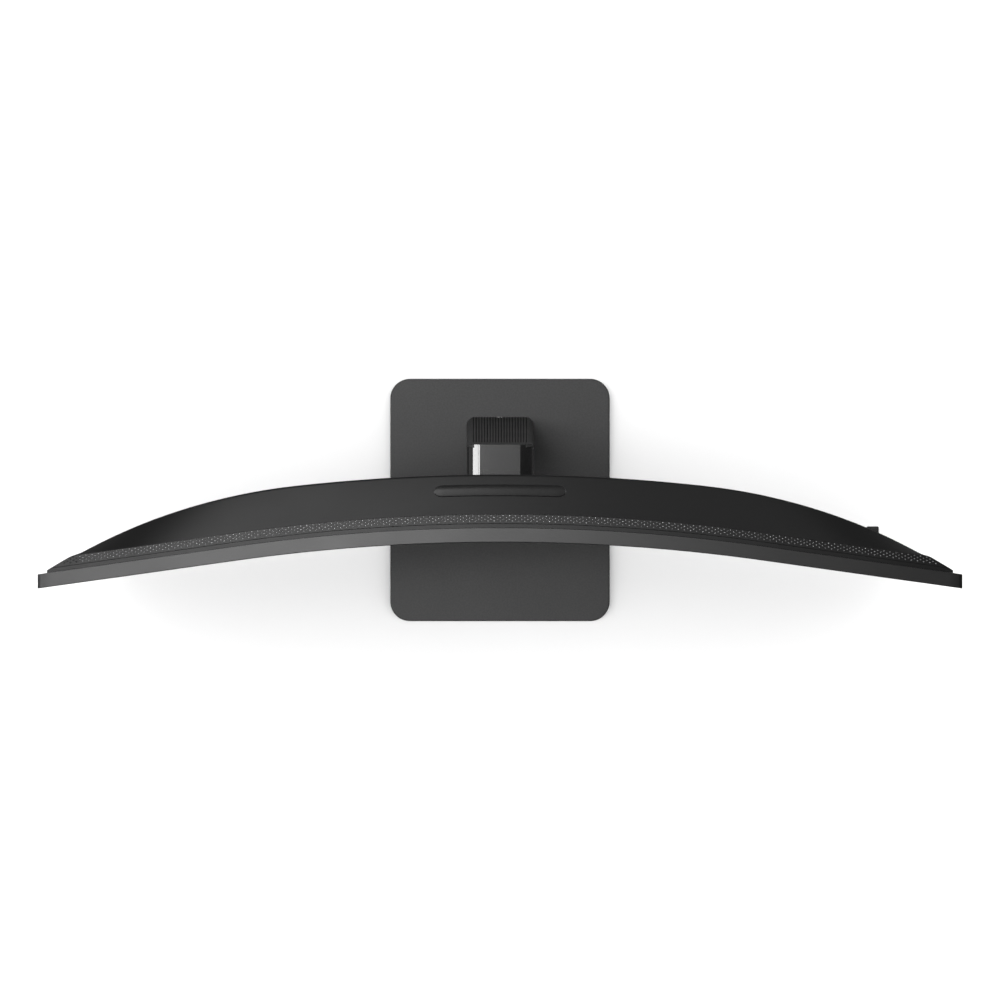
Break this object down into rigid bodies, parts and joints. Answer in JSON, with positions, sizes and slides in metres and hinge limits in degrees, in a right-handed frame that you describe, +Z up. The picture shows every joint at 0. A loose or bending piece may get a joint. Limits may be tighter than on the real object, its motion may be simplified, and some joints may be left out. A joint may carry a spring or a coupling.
{
  "type": "computer monitor",
  "caption": "Curved extra-wide computer monitor on a stand that swivels, tilts and changes height, with a ribbed leaning neck and a flat rectangular base plate.",
  "frame": {"origin": "on the surface the feet rest on, under the middle of the base plate", "axes": "+Z up; the screen faces -Y; +X points to the right for a person facing the screen"},
  "size_m": [0.81, 0.243, 0.4],
  "materials": {
    "frame_silver": "fine satin grey paint",
    "cover_black": "fine spark-eroded texture, satin",
    "neck_paint": "semi-gloss dark grey paint",
    "rib_black": "ribbed, satin",
    "base_paint": "fine textured powder coat",
    "steel": "plated",
    "rubber": "matt",
    "screen": "anti-glare coated front over a dark panel",
    "clear_plastic": "clear, polished",
    "white_plastic": "plain moulded",
    "circuit_board": "green solder mask",
    "socket_metal": "nickel plated",
    "aluminium": "mill finish",
    "brass": "plain"
  },
  "bodies": {
    "base": {"base_plate": "base_paint", "base_weight": "steel", "base_underside": "cover_black", "glide_washer": "white_plastic", "rubber_foot_1": "rubber", "rubber_foot_2": "rubber", "rubber_foot_3": "rubber", "rubber_foot_4": "rubber"},
    "neck": {"neck_sleeve": "neck_paint", "neck_rear_cover": "rib_black", "neck_foot": "steel", "swivel_spindle": "steel", "spindle_nut": "steel", "thumb_screw": "steel", "column_bush_upper": "white_plastic", "gas_spring_rod": "steel"},
    "carriage": {"arm_cover": "neck_paint", "arm_rear_trim": "rib_black", "inner_column": "aluminium", "column_bush_lower": "white_plastic", "gas_spring_body": "steel", "hinge_bracket": "steel", "hinge_pin": "steel", "friction_washer_left": "brass", "friction_washer_right": "brass"},
    "head": {"front_frame": "frame_silver", "lcd_panel": "screen", "diffuser_sheet": "white_plastic", "light_guide": "clear_plastic", "led_strip": "white_plastic", "panel_tray": "aluminium", "power_light": "clear_plastic", "rear_cover": "cover_black", "recess_liner": "cover_black", "port_bay": "cover_black", "rear_badge": "rib_black", "mount_plate": "steel", "tilt_bracket": "steel", "main_board": "circuit_board", "power_board": "circuit_board", "board_shield": "aluminium", "hdmi_socket_1": "socket_metal", "hdmi_socket_2": "socket_metal", "display_port_socket": "socket_metal", "sound_jack": "cover_black", "power_jack": "cover_black", "stick_housing": "cover_black", "control_board": "circuit_board"},
    "stick_side": {"stick_gimbal": "white_plastic"},
    "stick_lift": {"stick_yoke": "white_plastic"},
    "stick_press": {"stick_cap": "rubber"}
  },
  "joints": [
    {"name": "swivel", "type": "hinge", "parent": "base", "child": "neck", "pos_m": [0, 0.0685, 0.0115], "axis": [0, 0, 1], "range_deg": [-30, 30]},
    {"name": "height", "type": "slide", "parent": "neck", "child": "carriage", "axis": [0, -0.1289, 0.9917], "range_m": [0, 0.11]},
    {"name": "tilt", "type": "hinge", "parent": "carriage", "child": "head", "pos_m": [0, 0.006, 0.236], "axis": [-1, 0, 0], "range_deg": [-5, 20]},
    {"name": "stick_side", "type": "hinge", "parent": "head", "child": "stick_side", "pos_m": [0.34611, -0.04693, 0.235], "axis": [0, 0, 1], "range_deg": [-6, 6], "stiffness_Nm_per_rad": 0.05},
    {"name": "stick_lift", "type": "hinge", "parent": "stick_side", "child": "stick_lift", "pos_m": [0.34611, -0.04693, 0.235], "axis": [1, 0, 0], "range_deg": [-6, 6], "stiffness_Nm_per_rad": 0.05},
    {"name": "stick_press", "type": "slide", "parent": "stick_lift", "child": "stick_press", "axis": [0, -1, 0], "range_m": [0, 0.001], "stiffness_N_per_m": 600}
  ]
}
